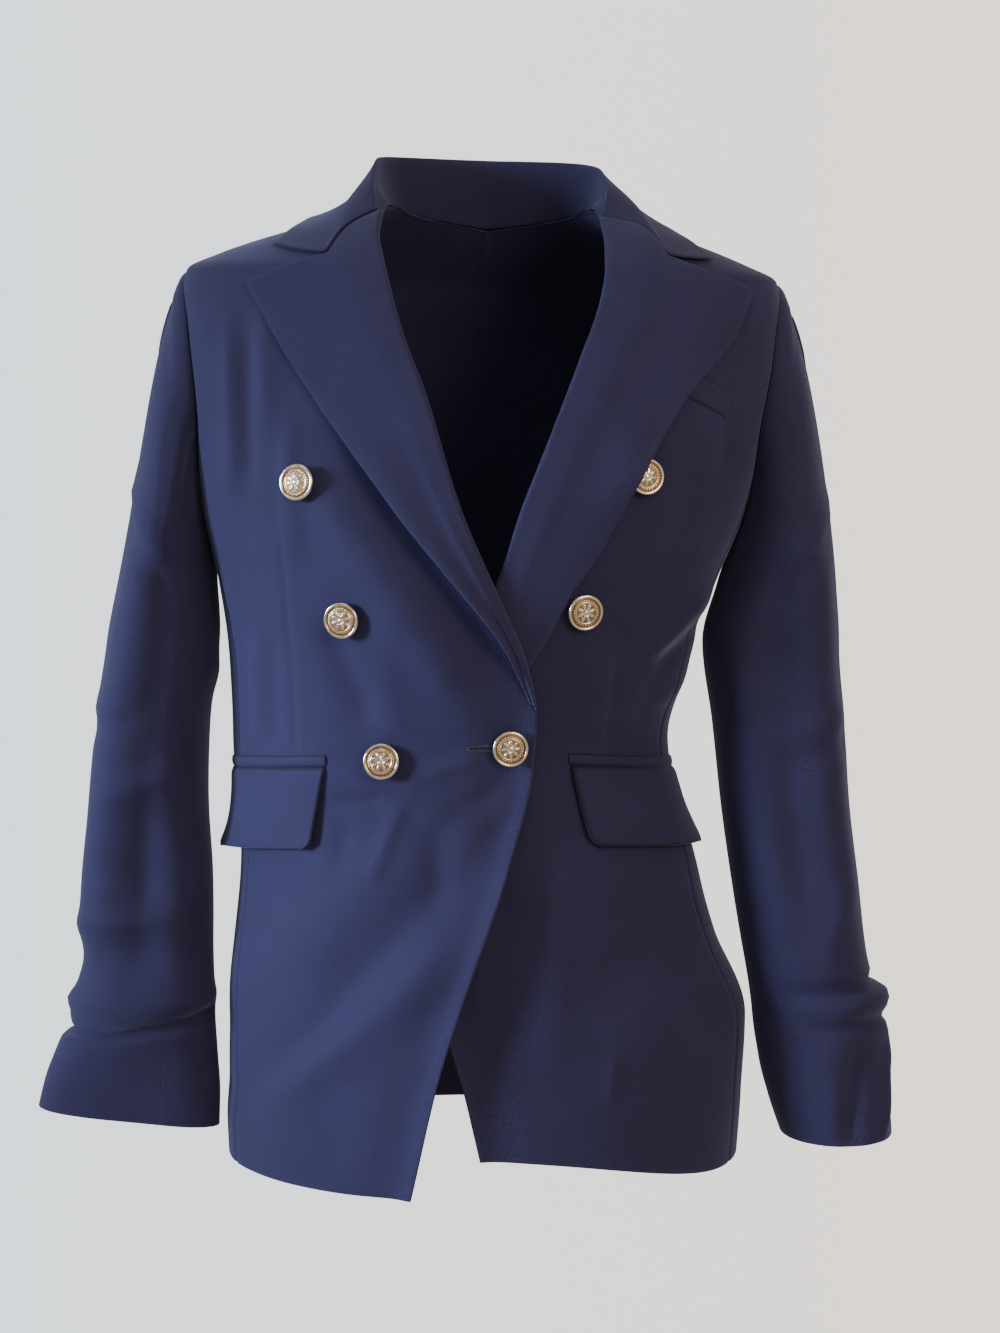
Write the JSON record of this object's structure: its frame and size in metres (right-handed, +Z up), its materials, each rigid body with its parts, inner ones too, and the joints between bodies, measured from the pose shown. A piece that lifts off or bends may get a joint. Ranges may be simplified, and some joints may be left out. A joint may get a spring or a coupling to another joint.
{
  "type": "double breasted blazer",
  "caption": "Tailored double breasted blazer, hollow and open in its worn shape: peak lapels, turned collar, flap pockets, breast welt, set-in sleeves and domed metal shank buttons.",
  "frame": {"origin": "middle of the neck opening, level with the tops of the shoulder seams, where the wearer holds the garment up", "axes": "+X to the wearer's left, -Y to the front, +Z up"},
  "size_m": [0.5795, 0.252, 0.6728],
  "materials": {
    "navy_wool": "fine plain-woven navy wool suiting with a slight sheen",
    "gilt": "pale gold plated metal, softly worn"
  },
  "bodies": {
    "root": {"front_right": "navy_wool", "front_left": "navy_wool", "side_panel_right": "navy_wool", "side_panel_left": "navy_wool", "back_right": "navy_wool", "back_left": "navy_wool", "top_sleeve_right": "navy_wool", "under_sleeve_right": "navy_wool", "top_sleeve_left": "navy_wool", "under_sleeve_left": "navy_wool", "lapel_right": "navy_wool", "lapel_left": "navy_wool", "collar": "navy_wool", "collar_stand": "navy_wool", "flap_right": "navy_wool", "flap_left": "navy_wool", "jet_right": "navy_wool", "jet_left": "navy_wool", "breast_welt": "navy_wool", "button_right_top": "gilt", "button_right_middle": "gilt", "button_right_low": "gilt", "button_left_top": "gilt", "button_left_middle": "gilt", "button_fastened": "gilt"}
  },
  "joints": []
}
